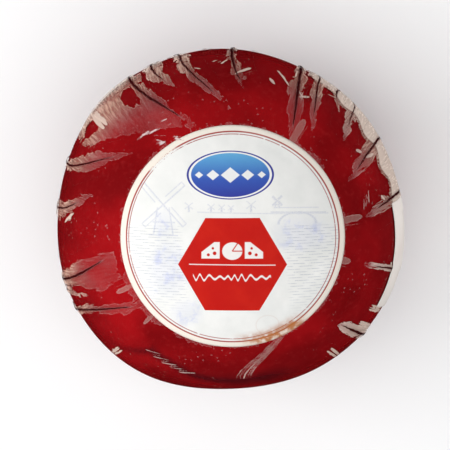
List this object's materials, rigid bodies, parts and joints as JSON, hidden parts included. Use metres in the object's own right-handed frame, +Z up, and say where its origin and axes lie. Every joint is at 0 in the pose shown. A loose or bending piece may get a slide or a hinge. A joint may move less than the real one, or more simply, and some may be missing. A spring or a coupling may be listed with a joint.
{
  "type": "edam cheese ball",
  "caption": "Whole ball of Edam cheese in red wax and tight clear film, a round paper label on its crown, standing on its flattened base.",
  "frame": {"origin": "on the floor, under the middle of the ball", "axes": "+Z up through the crown with its label, the ball's shorter way; the side sticker faces +X"},
  "size_m": [0.1494, 0.1482, 0.1302],
  "materials": {
    "red_wax": "smooth red wax, glossy under the film",
    "clear_film": "clear shrink film, pleated, with pockets of air",
    "label_paper": "coated paper, printed",
    "sticker_paper": "plain coated paper"
  },
  "bodies": {
    "root": {"wrapped_cheese": "red_wax", "round_label": "label_paper", "side_sticker": "sticker_paper"}
  },
  "joints": []
}
